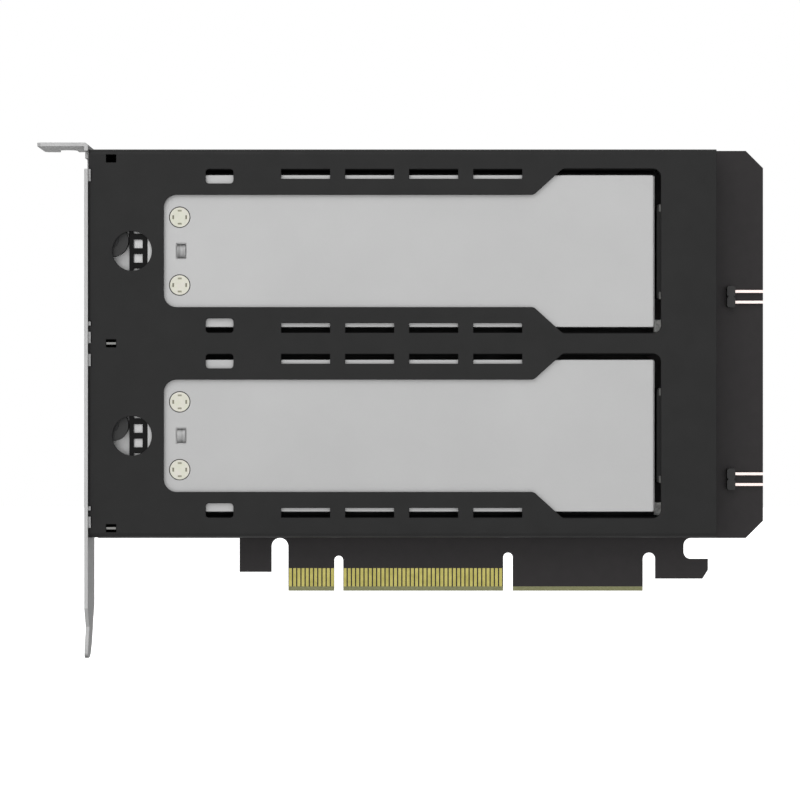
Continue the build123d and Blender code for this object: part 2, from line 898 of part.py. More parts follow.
def tray_cover(bay, centre):
    """The silver lid of a tray: a thin plate with side walls, an end lip and a few holes."""
    half = cover_width / 2
    with BuildPart() as cover:
        with BuildSketch(Plane.YZ.offset(tray_left)) as section:
            plate_outline(-tray_top, -floor_top, centre - half, centre + half)
            fillet(section.vertices().group_by(Axis.X)[0], radius=cover_edge)
            plate_outline(
                -cover_under,
                -floor_top + 1,
                centre - half + cover_sheet,
                centre + half - cover_sheet,
                mode=Mode.SUBTRACT,
            )
        extrude(amount=tray_length)
        with BuildSketch(Plane.XZ.offset(tray_top - end_lip_height)) as lip:
            plate_outline(tray_right - cover_sheet, tray_right, centre - half, centre + half)
        extrude(amount=end_lip_height - cover_edge)
        end_edge = (
            cover.edges()
            .filter_by(Axis.Z)
            .filter_by_position(Axis.Y, -tray_top - 0.01, -tray_top + 0.01)
            .sort_by(Axis.X)[-1]
        )
        fillet(end_edge, radius=cover_end_edge)
        # Countersunk screw holes and the latch hole
        for side in (1, -1):
            z = centre + side * cover_screw_spread
            with BuildSketch(screw_plane(cover_screw_x, z)) as countersink:
                with BuildLine():
                    Polyline(
                        (0, -tray_top),
                        (cover_screw_head + head_ring, -tray_top),
                        (cover_screw_head + head_ring, -tray_top + head_ring_depth),
                        (cover_screw_head + thread_gap, -tray_top + head_ring_depth),
                        (cover_screw_radius + thread_gap, -cover_under),
                        (0, -cover_under),
                        close=True,
                    )
                make_face()
            revolve(axis=Axis((cover_screw_x, 0, z), (0, 1, 0)), mode=Mode.SUBTRACT)
        with BuildSketch(Plane.XZ.offset(cover_under)) as latch_hole:
            with Locations((latch_hole_x, centre)):
                RectangleRounded(latch_hole_length, latch_hole_width, latch_hole_corner)
        extrude(amount=cover_sheet, mode=Mode.SUBTRACT)
    save(cover, f"{bay}_tray_cover")


def front_plate(bay, centre):
    """The joggled sheet under the cover's front: a shelf under the grille, then the lever's deck."""
    shelf = cover_under - front_plate_sheet / 2
    deck = deck_top - front_plate_sheet / 2
    joggle_x = cross_wall_front + cross_wall / 2 + joggle_setback
    with BuildPart() as plate:
        with BuildSketch(Plane.XY.offset(centre - front_plate_width / 2)) as profile:
            with BuildLine():
                FilletPolyline(
                    (tray_left + front_plate_reach, -shelf),
                    (joggle_x, -shelf),
                    (joggle_x, -deck),
                    (plate_back + deck_front_gap, -deck),
                    radius=front_plate_sheet,
                )
            trace(line_width=front_plate_sheet)
        extrude(amount=front_plate_width)
        with BuildSketch(Plane.XZ.offset(deck_under)) as holes:
            with Locations((pivot_x, centre + pivot_up)):
                Circle(pin_radius)
            with Locations((cover_screw_x, centre)):
                with GridLocations(1, 2 * cover_screw_spread, 1, 2):
                    Circle(cover_screw_radius + thread_gap)
        extrude(amount=cover_under - deck_under, mode=Mode.SUBTRACT)
    save(plate, f"{bay}_front_plate")


def cover_screws(bay, centre):
    """Two flush screws through the cover and front plate, each with four marks on its head."""
    with BuildPart() as screws:
        for side in (1, -1):
            z = centre + side * cover_screw_spread
            with BuildSketch(screw_plane(cover_screw_x, z)) as profile:
                with BuildLine():
                    Polyline(
                        (0, -tray_top),
                        (cover_screw_head, -tray_top),
                        (cover_screw_head, -tray_top + head_ring_depth),
                        (cover_screw_radius, -cover_under),
                        (cover_screw_radius, -floor_low),
                        (0, -floor_low),
                        close=True,
                    )
                make_face()
            revolve(axis=Axis((cover_screw_x, 0, z), (0, 1, 0)))
            with BuildSketch(Plane.XZ.offset(tray_top - head_mark_depth)) as marks:
                with Locations((cover_screw_x, z)):
                    with PolarLocations(head_mark_place, 4):
                        Rectangle(head_mark_width, head_mark_length)
            extrude(amount=head_mark_depth, mode=Mode.SUBTRACT)
    save(screws, f"{bay}_cover_screws")


def spacers(bay, centre):
    """Two round spacers between the tray floor and the front plate."""
    with BuildPart() as pair:
        with BuildSketch(Plane.XZ.offset(floor_top)) as section:
            with Locations((cover_screw_x, centre)):
                with GridLocations(1, 2 * cover_screw_spread, 1, 2):
                    Circle(spacer_radius)
                    Circle(cover_screw_radius + thread_gap, mode=Mode.SUBTRACT)
        extrude(amount=front_plate_under - floor_top)
    save(pair, f"{bay}_spacers")


def latch_spring(bay, centre):
    """A bowed leaf that stands on the front plate inside the cover's rectangular hole."""
    half = latch_hole_width / 2 - latch_spring_gap
    inner = half - latch_spring_foot
    rise = tray_top - cover_under - latch_spring_drop
    with BuildPart() as spring:
        with BuildSketch(Plane.YZ.offset(latch_hole_x - latch_spring_width / 2)) as bow:
            with BuildLine():
                ThreePointArc(
                    (-cover_under, centre - half),
                    (-cover_under - rise, centre),
                    (-cover_under, centre + half),
                )
                Line((-cover_under, centre + half), (-cover_under, centre + inner))
                ThreePointArc(
                    (-cover_under, centre + inner),
                    (-cover_under - rise + latch_spring_sheet, centre),
                    (-cover_under, centre - inner),
                )
                Line((-cover_under, centre - inner), (-cover_under, centre - half))
            make_face()
        extrude(amount=latch_spring_width)
    save(spring, f"{bay}_latch_spring")


def bezel(bay, centre):
    """The moulded front of a tray: vented plate, cheeks, cross wall and the grille behind it."""
    skin_under = bezel_top - grille_skin
    with BuildPart() as frame:
        with BuildSketch(Plane.YZ.offset(bezel_front)) as plate:
            with Locations((-(bezel_low + bezel_top) / 2, centre)):
                RectangleRounded(bezel_top - bezel_low, bezel_width, bezel_corner)
        extrude(amount=bezel_plate)
        # Cheeks, cross wall and screw bosses stand on the tray floor
        with BuildSketch(Plane.XZ.offset(floor_top)) as walls:
            plate_outline(plate_back, bezel_back, centre - bezel_half, centre + bezel_half)
            with Locations(((plate_back + bezel_back) / 2, centre)):
                Rectangle(bezel_back - plate_back, 2 * pocket_half, mode=Mode.SUBTRACT)
        extrude(amount=bezel_top - floor_top)
        with BuildSketch(Plane.XZ.offset(floor_top)) as cross:
            plate_outline(
                cross_wall_front,
                cross_wall_front + cross_wall,
                centre - pocket_half,
                centre + pocket_half,
            )
            with Locations((boss_x, centre)):
                with GridLocations(1, 2 * bezel_boss_place, 1, 2):
                    Circle(bezel_boss_radius)
            with Locations(((cross_wall_front + boss_x) / 2, centre)):
                with GridLocations(1, 2 * bezel_boss_place, 1, 2):
                    Rectangle(boss_x - cross_wall_front, 2 * bezel_boss_radius)
        extrude(amount=deck_under - cross_wall_drop - floor_top)
        # Top bar and grille skin over the front plate's shelf
        with BuildSketch(Plane.XZ.offset(skin_under)) as skin:
            plate_outline(
                cross_wall_front, bezel_back, centre - pocket_half, centre + pocket_half
            )
        extrude(amount=grille_skin)
        grille_middle = cross_wall_front + cross_wall + grille_hole_gap + grille_hole_length / 2
        with BuildSketch(Plane.XZ.offset(skin_under)) as grille:
            with Locations((grille_middle, centre)):
                with GridLocations(1, vent_pitch, 1, grille_holes):
                    Rectangle(grille_hole_length, vent_size)
        extrude(amount=grille_skin, mode=Mode.SUBTRACT)
        # Air passages through the cross wall and the front plate
        with BuildSketch(Plane.YZ.offset(cross_wall_front)) as passages:
            with Locations((-(floor_top + deck_under - cross_wall_drop) / 2, centre)):
                with GridLocations(1, vent_pitch, 1, passage_count):
                    Rectangle(passage_height, vent_size)
        extrude(amount=cross_wall, mode=Mode.SUBTRACT)
        with BuildSketch(Plane.YZ.offset(bezel_front)) as vents:
            with Locations((-(floor_top + deck_under) / 2, centre)):
                with GridLocations(vent_row_pitch, vent_pitch, vent_rows, vent_columns):
                    Rectangle(vent_size, vent_size)
        extrude(amount=bezel_plate, mode=Mode.SUBTRACT)
        # Opening that the lever lies in and swings through
        pivot_z = centre + pivot_up
        turn = math.radians(lever_angle)
        reach = pivot_back + lever_gap
        outward = (-math.sin(turn), math.cos(turn))
        start = (-reach * math.cos(turn), -reach * math.sin(turn))
        run = (reach + swing_room + start[0]) / -outward[0]
        with BuildSketch(Plane.XZ.offset(lever_low - lever_gap)) as opening:
            with BuildLine():
                Polyline(
                    (pivot_x - reach - swing_room, pivot_z + lever_reach + lever_gap),
                    (pivot_x, pivot_z + lever_reach + lever_gap),
                    (pivot_x, pivot_z),
                    (pivot_x + start[0], pivot_z + start[1]),
                    (pivot_x - reach - swing_room, pivot_z + start[1] + run * outward[1]),
                    close=True,
                )
            make_face()
            with Locations((pivot_x, pivot_z)):
                Circle(reach)
            plate_outline(
                cross_wall_front,
                pivot_x + reach + 1,
                pivot_z - reach - 1,
                pivot_z + reach + 1,
                mode=Mode.SUBTRACT,
            )
        extrude(amount=bezel_top - lever_low + 2 * lever_gap, mode=Mode.SUBTRACT)
        # Pilot holes in the bosses
        with BuildSketch(Plane.XZ.offset(floor_top)) as pilots:
            with Locations((boss_x, centre)):
                with GridLocations(1, 2 * bezel_boss_place, 1, 2):
                    Circle(bezel_screw_radius + thread_gap)
        extrude(amount=bezel_screw_length + bezel_pilot_room, mode=Mode.SUBTRACT)
    save(frame, f"{bay}_tray_bezel")


head_seat = lever_top - pin_head_height - pin_clearance


def latch_lever(bay, centre):
    """A flat cam lever: round hub on the pin, rounded heel, and a bar flush with the bezel."""
    pivot_z = centre + pivot_up
    with BuildPart() as lever:
        with BuildSketch(Plane.XZ.offset(lever_low)) as outline:
            with Locations((pivot_x, pivot_z)):
                Circle(hub_radius)
            # Heel: the sector of the front radius beside the hub
            with BuildLine():
                heel = math.asin(hub_radius / pivot_back)
                heel_point = (
                    pivot_x - pivot_back * math.cos(heel),
                    pivot_z - pivot_back * math.sin(heel),
                )
                half_heel = heel / 2
                ThreePointArc(
                    (pivot_x - pivot_back, pivot_z),
                    (
                        pivot_x - pivot_back * math.cos(half_heel),
                        pivot_z - pivot_back * math.sin(half_heel),
                    ),
                    heel_point,
                )
                Polyline(
                    heel_point,
                    (pivot_x, pivot_z - hub_radius),
                    (pivot_x, pivot_z),
                    (pivot_x - pivot_back, pivot_z),
                )
            make_face()
            plate_outline(pivot_x - pivot_back, pivot_x, pivot_z, pivot_z + hub_radius)
            plate_outline(
                pivot_x - pivot_back,
                pivot_x - pivot_back + lever_bar,
                pivot_z,
                pivot_z + lever_reach,
            )
        extrude(amount=lever_thickness)
        with BuildSketch(Plane.XZ.offset(lever_low)) as bore:
            with Locations((pivot_x, pivot_z)):
                Circle(pin_radius + pin_clearance)
        extrude(amount=lever_thickness, mode=Mode.SUBTRACT)
        with BuildSketch(Plane.XZ.offset(head_seat - pin_clearance)) as seat:
            with Locations((pivot_x, pivot_z)):
                Circle(pin_head_radius + pin_clearance)
        extrude(amount=pin_head_height + 2 * pin_clearance, mode=Mode.SUBTRACT)
        # Finger scoop at the free end of the bar
        with BuildSketch(Plane.XZ.offset(lever_low)) as scoop:
            with Locations((pivot_x - pivot_back + lever_bar, pivot_z + lever_reach)):
                Circle(lever_scoop_radius)
        extrude(amount=lever_thickness, mode=Mode.SUBTRACT)
    save(lever, f"{bay}_latch_lever")


def lever_pin(bay, centre):
    """A headed pin riveted in the deck, with the lever turning on it."""
    pivot_z = centre + pivot_up
    with BuildPart() as pin:
        with BuildSketch(screw_plane(pivot_x, pivot_z)) as profile:
            with BuildLine():
                Polyline(
                    (0, -head_seat - pin_head_height),
                    (pin_head_radius, -head_seat - pin_head_height),
                    (pin_head_radius, -head_seat),
                    (pin_radius, -head_seat),
                    (pin_radius, -deck_under),
                    (rivet_radius, -deck_under),
                    (rivet_radius, -deck_under + rivet_height),
                    (0, -deck_under + rivet_height),
                    close=True,
                )
            make_face()
        revolve(axis=Axis((pivot_x, 0, pivot_z), (0, 1, 0)))
    save(pin, f"{bay}_lever_pin")


def thermal_pad(bay, centre):
    """The soft pad that hangs under the cover and meets the drive."""
    with BuildPart() as pad:
        with BuildSketch(Plane.XZ.offset(cover_under - pad_thickness)) as outline:
            plate_outline(
                tray_left + pad_front_gap,
                tray_right - pad_end_gap,
                centre - pad_width / 2,
                centre + pad_width / 2,
            )
        extrude(amount=pad_thickness)
    save(pad, f"{bay}_thermal_pad")


def drive_standoff(bay, centre):
    """The threaded post that the drive's free end is screwed down on."""
    x = drive_edge - drive_length
    with BuildPart() as post:
        with BuildSketch(Plane.XZ.offset(floor_top)) as body:
            with Locations((x, centre)):
                Circle(standoff_radius)
        extrude(amount=standoff_top - floor_top)
        with BuildSketch(Plane.XZ.offset(floor_low)) as stud:
            with Locations((x, centre)):
                Circle(drive_thread)
        extrude(amount=floor_sheet)
        with BuildSketch(Plane.XZ.offset(standoff_top)) as thread:
            with Locations((x, centre)):
                Circle(small_screw_radius + thread_gap)
        extrude(amount=-drive_screw_length, mode=Mode.SUBTRACT)
    save(post, f"{bay}_drive_standoff")


def drive_screw(bay, centre):
    """The small screw kept in the standoff."""
    with BuildPart() as fixing:
        screw(
            drive_edge - drive_length,
            centre,
            standoff_top,
            standoff_top - drive_screw_length + drive_screw_room,
            small_screw_head,
            drive_screw_head_height,
            small_screw_radius,
        )
    save(fixing, f"{bay}_drive_screw")


for bay, centre in bay_centres.items():
    tray_floor(bay, centre)
    bezel_screws(bay, centre)
    tray_cover(bay, centre)
    front_plate(bay, centre)
    cover_screws(bay, centre)
    spacers(bay, centre)
    latch_spring(bay, centre)
    bezel(bay, centre)
    latch_lever(bay, centre)
    lever_pin(bay, centre)
    thermal_pad(bay, centre)
    drive_standoff(bay, centre)
    drive_screw(bay, centre)


# Drive sockets

def drive_socket(bay, centre):
    """A tall edge socket whose mouth faces the tray."""
    with BuildPart() as socket:
        with BuildSketch(Plane.XZ.offset(board_face)) as body:
            plate_outline(
                socket_left,
                socket_left + socket_length,
                centre - socket_width / 2,
                centre + socket_width / 2,
            )
        extrude(amount=socket_height)
        rear_edge = (
            socket.edges()
            .filter_by(Axis.Z)
            .filter_by_position(Axis.Y, -board_face - socket_height - 0.01, -board_face - 1)
            .sort_by(Axis.X)[-1]
        )
        chamfer(rear_edge, length=socket_chamfer)
        with BuildSketch(Plane.YZ.offset(socket_left)) as mouth:
            with Locations((-card_plane, centre)):
                Rectangle(card_slot_height, card_slot_width)
            with Locations((-card_plane, centre + card_key_place)):
                Rectangle(card_slot_height, card_key_width, mode=Mode.SUBTRACT)
        extrude(amount=card_slot_depth, mode=Mode.SUBTRACT)
    save(socket, f"{bay}_drive_socket")


def socket_contacts(bay, centre):
    """The row of tails behind the socket, soldered flat on the board."""
    with BuildPart() as tails:
        with BuildSketch(Plane.XZ.offset(board_face)) as row:
            with Locations((socket_left + socket_length + socket_tail / 2, centre)):
                with GridLocations(1, socket_contact_pitch, 1, socket_contact_count):
                    Rectangle(socket_tail, socket_contact_width)
        extrude(amount=socket_tail_height)
    save(tails, f"{bay}_socket_contacts")


def socket_clips(bay, centre):
    """Two metal hold-downs over the socket's ends, soldered to the board."""
    top = board_face + socket_height + clip_sheet / 2
    with BuildPart() as clips:
        for side in (1, -1):
            end = centre + side * (socket_width + clip_sheet) / 2
            with BuildSketch(Plane.YZ.offset(socket_left + clip_setback)) as fold:
                with BuildLine():
                    Polyline((-top, end - side * clip_reach), (-top, end), (-board_face, end))
                trace(line_width=clip_sheet)
            extrude(amount=clip_length)
    save(clips, f"{bay}_socket_clips")


for bay, centre in bay_centres.items():
    drive_socket(bay, centre)
    socket_contacts(bay, centre)
    socket_clips(bay, centre)


# Light headers at the far edge

def header_pins(z, mode=Mode.ADD):
    """One right-angle pin: out along the board's edge, and down through the board."""
    height = board_face + header_pitch / 2
    with BuildSketch(Plane.YZ.offset(header_x - pin_size / 2)) as lead:
        with Locations((-height, z)):
            Rectangle(pin_size, pin_size)
    reach = board_right - pin_end_gap - header_x + pin_size / 2
    extrude(lead.sketch, amount=reach, mode=mode)
    with BuildSketch(Plane.XZ.offset(-board_face - pin_tail)) as leg:
        with Locations((header_x, z)):
            Rectangle(pin_size, pin_size)
    extrude(leg.sketch, amount=height + board_face + pin_tail, mode=mode)


for bay, centre in bay_centres.items():
    header_z = centre - header_drop
    pin_rows = (header_z - header_pitch / 2, header_z + header_pitch / 2)
    with BuildPart() as header_base:
        with BuildSketch(Plane.XZ.offset(board_face)) as base:
            with Locations([(header_x, z) for z in pin_rows]):
                Rectangle(header_depth, header_pitch)
        extrude(amount=header_pitch)
        with BuildSketch(Plane.XZ.offset(board_face)) as waists:
            for x in (header_x - header_depth / 2, header_x + header_depth / 2):
                with Locations([(x, header_z + step * header_pitch) for step in (-1, 0, 1)]):
                    Rectangle(header_waist, header_waist, rotation=45)
        extrude(amount=header_pitch, mode=Mode.SUBTRACT)
        for z in pin_rows:
            header_pins(z, Mode.SUBTRACT)
    save(header_base, f"{bay}_header_base")
    with BuildPart() as pins:
        for z in pin_rows:
            header_pins(z)
    save(pins, f"{bay}_header_pins")

# Board components: power parts at the end of each bay and low chips under the trays
inductor_x = tray_right + inductor_gap + inductor_size / 2
inductor_drop = cover_width / 2 - inductor_inset
with BuildPart() as power_inductors:
    with BuildSketch(Plane.XZ.offset(board_face)) as blocks:
        with Locations([(inductor_x, centre - inductor_drop) for centre in bay_centres.values()]):
            Rectangle(inductor_size, inductor_width)
    extrude(amount=inductor_height)
save(power_inductors, "power_inductors")

capacitor_x = socket_left + socket_length / 2
capacitor_rise = (socket_width / 2 + rail_half) / 2
with BuildPart() as bulk_capacitors:
    places = [(capacitor_x, centre + capacitor_rise) for centre in bay_centres.values()]
    with BuildSketch(Plane.XZ.offset(board_face)) as bases:
        with Locations(places):
            Rectangle(capacitor_base_size, capacitor_base_size)
    extrude(amount=capacitor_base)
    with BuildSketch(Plane.XZ.offset(board_face + capacitor_base)) as cans:
        with Locations(places):
            Circle(capacitor_radius)
    extrude(amount=capacitor_height - capacitor_base)
save(bulk_capacitors, "bulk_capacitors")

with BuildPart() as board_chips:
    with BuildSketch(Plane.XZ.offset(board_face)) as bodies:
        with Locations((clock_chip_x, lower_centre - clock_chip_drop)):
            Rectangle(clock_chip_size, clock_chip_size)
        for centre in bay_centres.values():
            with Locations((tray_right - switch_chip_setback, centre - switch_chip_drop)):
                Rectangle(switch_chip_length, switch_chip_width)
            with Locations((tray_right - monitor_chip_setback, centre + monitor_chip_rise)):
                Rectangle(monitor_chip_length, monitor_chip_width)
    extrude(amount=chip_height)
save(board_chips, "board_chips")

with BuildPart() as small_capacitors:
    with BuildSketch(Plane.XZ.offset(board_face)) as bodies:
        for centre in bay_centres.values():
            with Locations((tray_right - small_capacitor_setback, centre)):
                with GridLocations(
                    small_capacitor_row_pitch, small_capacitor_pitch, 2, small_capacitor_count
                ):
                    Rectangle(small_capacitor_length, small_capacitor_width)
    extrude(amount=small_capacitor_height)
save(small_capacitors, "small_capacitors")
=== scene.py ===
"""Looks of the dual-bay drive adapter card: finishes, fine trim, light and camera."""

import json
import math

import bmesh
import bpy
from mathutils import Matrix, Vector


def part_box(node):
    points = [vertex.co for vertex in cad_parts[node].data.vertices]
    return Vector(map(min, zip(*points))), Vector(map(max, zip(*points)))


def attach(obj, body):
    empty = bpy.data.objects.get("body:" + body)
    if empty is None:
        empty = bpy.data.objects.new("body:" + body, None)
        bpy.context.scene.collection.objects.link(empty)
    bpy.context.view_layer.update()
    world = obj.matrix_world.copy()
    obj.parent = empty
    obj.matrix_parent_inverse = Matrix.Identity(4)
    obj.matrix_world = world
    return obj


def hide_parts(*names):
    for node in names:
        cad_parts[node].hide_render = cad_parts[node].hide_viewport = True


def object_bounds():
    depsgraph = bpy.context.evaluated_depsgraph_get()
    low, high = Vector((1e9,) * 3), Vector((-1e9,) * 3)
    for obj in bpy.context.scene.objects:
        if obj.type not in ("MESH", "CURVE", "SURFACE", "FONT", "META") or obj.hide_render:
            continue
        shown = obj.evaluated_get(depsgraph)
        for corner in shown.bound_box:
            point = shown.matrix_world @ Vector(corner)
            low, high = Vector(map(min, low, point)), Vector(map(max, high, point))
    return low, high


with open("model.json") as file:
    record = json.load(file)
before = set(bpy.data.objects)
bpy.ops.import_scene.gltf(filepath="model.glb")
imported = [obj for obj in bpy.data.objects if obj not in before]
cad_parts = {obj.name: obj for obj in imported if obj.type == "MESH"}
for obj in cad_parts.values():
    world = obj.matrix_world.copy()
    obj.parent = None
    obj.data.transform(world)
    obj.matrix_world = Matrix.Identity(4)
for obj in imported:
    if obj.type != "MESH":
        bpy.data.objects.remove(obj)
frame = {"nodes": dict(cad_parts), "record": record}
cad_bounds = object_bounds()
mm = 0.001

# Places read from the frame
board_low, board_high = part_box("card_board")
board_front = board_low.y
board_back = board_high.y
housing_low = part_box("housing_cover")[0]
cover_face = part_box("upper_tray_cover")[0].y
can_low, can_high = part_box("bulk_capacitors")
bay_names = ("upper", "lower")

# Places on the solids where a finish or a painted shade changes
bevel_top = 1.06 * mm  # the bevel of the board's lower edge ends at this height
can_base = 0.8 * mm  # thickness of a capacitor's black base
can_mark = 1.2 * mm  # the dark sector of a capacitor starts this far from its middle
can_skin = 0.05 * mm  # what lies deeper than this isn't the capacitor's end
groove_reach = 2.65 * mm  # the groove round a cream screw ends this far from its axis
groove_depth = 0.05 * mm  # what lies deeper than this beside a cream screw is its groove, which gets painted shade
mark_depth = 0.1 * mm  # what lies deeper than this on a cream screw is a mark, which gets painted shade
mark_aside = 1.0 * mm  # the marks beside the axis, with the deepest painted shade, start this far from it

# Cross-recessed screws
screw_steps = 40
screw_head = 1.9 * mm
screw_head_height = 1.2 * mm
drive_head_height = 0.9 * mm
head_rounding = 0.3 * mm
rounding_middle = 0.3  # share of the rounding by which its middle stands in from rim and top
screw_shank = 1.0 * mm
shank_chamfer = 0.4 * mm
recess_arm = 0.95 * mm
recess_half_width = 0.26 * mm
recess_depth = 0.55 * mm
recess_floor_arm = 0.5 * mm
recess_floor_half_width = 0.16 * mm
recess_point = 0.15 * mm

# Solder cones: radius and height of each ring
pin_size = 0.64 * mm
solder_steps = 24
solder_profile = [
    (0, 0),
    (0.85 * mm, 0),
    (0.8 * mm, 0.12 * mm),
    (0.62 * mm, 0.3 * mm),
    (0.5 * mm, 0.6 * mm),
    (0.44 * mm, 0.95 * mm),
    (0.3 * mm, 1.02 * mm),
    (0, 1.04 * mm),
]

# Tracks on the solder side, in pairs from the edge contacts to each bay's drive socket
track_width = 0.22 * mm
track_height = 0.04 * mm
track_turn = 6.0 * mm
contact_gap = 0.4 * mm
socket_gap = 1.5 * mm
pair_gap = 0.9 * mm
first_lanes = (6.0 * mm, 22.0 * mm)  # where the first lane of each bay starts
lane_count = 4
lane_pitch = 3.2 * mm
via_ahead = 0.3 * mm  # from the end of a track to the middle of its via

# Covered through-holes on the solder side: radius and height of each ring, then their places
via_steps = 16
via_profile = [
    (0, 0),
    (0.48 * mm, 0),
    (0.42 * mm, 0.05 * mm),
    (0.22 * mm, 0.05 * mm),
    (0.15 * mm, 0.015 * mm),
    (0, 0.012 * mm),
]
via_inset = 2.4 * mm
via_pitch = 6.0 * mm
corner_room = 6.0 * mm  # from a corner of the rows to their first via
screw_room = 1.5 * mm  # no via's middle comes nearer than this to a screw head

# Camera: square on to the component side, as far away as the photograph's perspective says
camera_x = 14.56 * mm
camera_z = 45.4 * mm
camera_distance = 850.7 * mm
camera_lens = 160.8

# Lamps: place, side of the square and power
lamp_target = (15 * mm, 0, 45 * mm)
lamps = {
    "key": ((-0.8, -2.3, 1.7), 1.8, 29.5),
    "fill": ((1.0, -2.4, -0.1), 1.2, 7.5),
    "back": ((-1.9, 1.3, 1.4), 1.6, 30.0),
}
# Strength of the white surroundings as a light; the rays that show the background see them at 1
even_light = 0.32

# The plain floor lies below the picture's lower edge
floor_drop = 55 * mm
floor_size = 6.0
# It keeps the shadow near the object, and turns white further out and behind
near_lift = 0.42
fade_start = 150 * mm
fade_end = 520 * mm
shadow_reach = 60 * mm
white_reach = 185 * mm


def colour(code):
    """Linear colour of a six-digit sRGB code such as "c0ffee"."""
    channels = [int(code[i:i + 2], 16) / 255 for i in (0, 2, 4)]
    return [c / 12.92 if c <= 0.04045 else ((c + 0.055) / 1.055) ** 2.4 for c in channels]


class Finish:
    """A procedural material whose textures are measured in metres on the object."""

    def __init__(self, name, base, roughness, metallic=0.0, specular=0.5):
        self.material = bpy.data.materials.new(name)
        self.material.use_nodes = True
        self.tree = self.material.node_tree
        self.shader = self.tree.nodes["Principled BSDF"]
        self.set("Base Color", [*colour(base), 1])
        self.set("Roughness", roughness)
        self.set("Metallic", metallic)
        self.set("Specular IOR Level", specular)
        self.coordinates = self.add("ShaderNodeTexCoord")
        self.place = self.coordinates.outputs["Object"]
        self.normal = None

    def set(self, socket, value):
        """Give a socket of the shader one value all over."""
        self.shader.inputs[socket].default_value = value

    def add(self, kind, **settings):
        """A new node with the given settings."""
        node = self.tree.nodes.new(kind)
        for name, value in settings.items():
            setattr(node, name, value)
        return node

    def link(self, output, socket):
        """Connect an output to a socket."""
        self.tree.links.new(output, socket)

    def calc(self, operation, first, second=0.0):
        """The result of an operation on one or two numbers or outputs."""
        node = self.add("ShaderNodeMath", operation=operation)
        for socket, value in zip(node.inputs, (first, second)):
            if isinstance(value, (int, float)):
                socket.default_value = value
            else:
                self.link(value, socket)
        return node.outputs["Value"]

    def span(self, factor, low, high, start=0.3, end=0.7):
        """From low to high as the factor goes from start to end."""
        node = self.add("ShaderNodeMapRange")
        node.inputs["From Min"].default_value = start
        node.inputs["From Max"].default_value = end
        node.inputs["To Min"].default_value = low
        node.inputs["To Max"].default_value = high
        self.link(factor, node.inputs["Value"])
        return node.outputs["Result"]

    def stretched(self, stretch):
        """Object coordinates, scaled along each axis."""
        mapping = self.add("ShaderNodeMapping")
        mapping.inputs["Scale"].default_value = stretch
        self.link(self.place, mapping.inputs["Vector"])
        return mapping.outputs["Vector"]

    def axis(self, name):
        """One object coordinate in metres."""
        node = self.add("ShaderNodeSeparateXYZ")
        self.link(self.place, node.inputs["Vector"])
        return node.outputs[name]

    def facing(self, name):
        """How squarely the surface faces along one axis, from 0 to 1."""
        node = self.add("ShaderNodeSeparateXYZ")
        self.link(self.coordinates.outputs["Normal"], node.inputs["Vector"])
        return self.calc("ABSOLUTE", node.outputs[name])

    def reach(self, places):
        """Distance in metres from the nearest of some lines that run along Y."""
        flat = self.stretched((1, 0, 1))
        nearest = 1.0  # further off than any point of the object
        for place in places:
            node = self.add("ShaderNodeVectorMath", operation="DISTANCE")
            node.inputs[1].default_value = place
            self.link(flat, node.inputs[0])
            nearest = self.calc("MINIMUM", node.outputs["Value"], nearest)
        return nearest

    def noise(self, grain, stretch=(1, 1, 1), detail=3.0):
        """Noise in patches about one grain across; most of it lies between 0.3 and 0.7."""
        node = self.add("ShaderNodeTexNoise")
        node.inputs["Scale"].default_value = 1 / grain
        node.inputs["Detail"].default_value = detail
        node.inputs["Roughness"].default_value = 0.55
        self.link(self.stretched(stretch), node.inputs["Vector"])
        return node.outputs["Fac"]

    def patches(self, grain, **options):
        """Noise spread over the whole range from 0 to 1."""
        return self.span(self.noise(grain, **options), 0, 1)

    def mix(self, factor, first, second):
        """A colour between two codes or colour outputs."""
        node = self.add("ShaderNodeMix", data_type="RGBA")
        self.link(factor, node.inputs["Factor"])
        for socket, value in ((node.inputs[6], first), (node.inputs[7], second)):
            if isinstance(value, str):
                socket.default_value = [*colour(value), 1]
            else:
                self.link(value, socket)
        return node.outputs[2]

    def tint(self, factor, first, second):
        """Colour the surface between two colours."""
        self.link(self.mix(factor, first, second), self.shader.inputs["Base Color"])

    def vary_roughness(self, factor, low, high):
        """Roughness from low to high with a noise."""
        self.link(self.span(factor, low, high), self.shader.inputs["Roughness"])

    def bump(self, factor, height, strength=1.0):
        """Relief of the given height in metres, over any relief given before."""
        node = self.add("ShaderNodeBump")
        node.inputs["Strength"].default_value = strength
        node.inputs["Distance"].default_value = height
        self.link(factor, node.inputs["Height"])
        if self.normal:
            self.link(self.normal, node.inputs["Normal"])
        self.normal = node.outputs["Normal"]
        self.link(self.normal, self.shader.inputs["Normal"])

    def soft_edges(self, radius):
        """Edges that catch the light as if broken by the given radius in metres."""
        node = self.add("ShaderNodeBevel", samples=6)
        node.inputs["Radius"].default_value = radius
        self.normal = node.outputs["Normal"]
        self.link(self.normal, self.shader.inputs["Normal"])


def board_laminate():
    """Black solder mask, with bare laminate on the bevel of the lower edge."""
    finish = Finish("board_mask", "262324", 0.42, specular=0.23)
    finish.soft_edges(0.08 * mm)
    finish.bump(finish.noise(0.5 * mm), 0.004 * mm)
    on_bevel = finish.calc("LESS_THAN", finish.axis("Z"), bevel_top)
    bare = finish.mix(finish.patches(0.4 * mm, stretch=(1, 6, 6)), "7d7e52", "a8a882")
    mask = finish.mix(finish.patches(3 * mm), "242122", "282526")
    finish.tint(on_bevel, mask, bare)
    return finish


